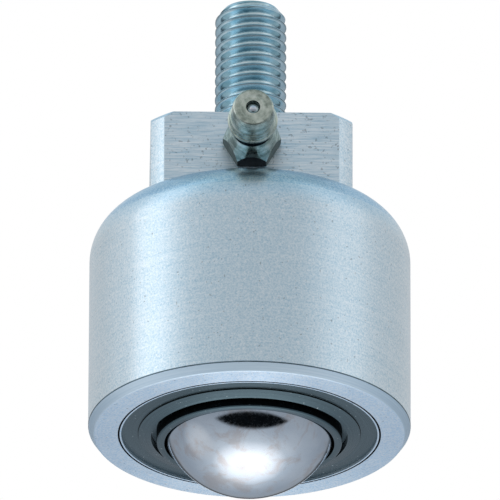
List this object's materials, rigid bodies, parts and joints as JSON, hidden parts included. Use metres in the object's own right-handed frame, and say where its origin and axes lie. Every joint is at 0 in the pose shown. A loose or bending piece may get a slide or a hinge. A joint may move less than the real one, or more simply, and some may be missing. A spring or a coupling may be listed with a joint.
{
  "type": "ball transfer unit",
  "caption": "Stud-mounted ball transfer unit: a large steel ball rolls on a race of small balls in a turned body with a spanner neck, a threaded stud and a grease nipple.",
  "frame": {"origin": "centre of the stud at the seat plane, the top face of the neck", "axes": "+Z along the stud, away from the body; the main ball is towards -Z; the grease nipple points along -Y"},
  "size_m": [0.0446, 0.0483, 0.0733],
  "materials": {
    "zinc_plated_steel": "turned, bright zinc plate with a blue cast",
    "zinc_plated_thread": "rolled thread, bright zinc plate",
    "black_oxide_steel": "turned, black oxide, oiled",
    "polished_ball_steel": "lapped bearing ball",
    "hardened_steel": "ground and hardened",
    "nipple_steel": "turned, thin yellow-green zinc plate",
    "spring_wire": "drawn spring wire",
    "felt": "pressed wool felt, oiled"
  },
  "bodies": {
    "housing": {"housing": "zinc_plated_steel", "stud": "zinc_plated_thread", "ball_cup": "hardened_steel", "keeper_ring": "hardened_steel", "felt_seal": "felt", "cover_ring": "black_oxide_steel", "nipple_body": "nipple_steel", "nipple_spring": "spring_wire"},
    "support_balls": {"crown_ball": "polished_ball_steel", "support_balls_row_1": "polished_ball_steel", "support_balls_row_2": "polished_ball_steel", "support_balls_row_3": "polished_ball_steel", "support_balls_row_4": "polished_ball_steel", "support_balls_row_5": "polished_ball_steel", "support_balls_row_6": "polished_ball_steel"},
    "main_ball": {"main_ball": "polished_ball_steel"},
    "check_ball": {"nipple_ball": "polished_ball_steel"}
  },
  "joints": [
    {"name": "support_balls_turn", "type": "hinge", "parent": "housing", "child": "support_balls", "pos_m": [0, 0, -0.0386], "axis": [0, 0, 1], "continuous": true},
    {"name": "main_ball_roll", "type": "hinge", "parent": "support_balls", "child": "main_ball", "pos_m": [0, 0, -0.0386], "axis": [1, 0, 0], "continuous": true},
    {"name": "check_ball_slide", "type": "slide", "parent": "housing", "child": "check_ball", "axis": [0, 1, 0], "range_m": [0, 0.0005], "stiffness_N_per_m": 400, "springref_m": -0.0005, "deforming": ["nipple_spring"]}
  ]
}
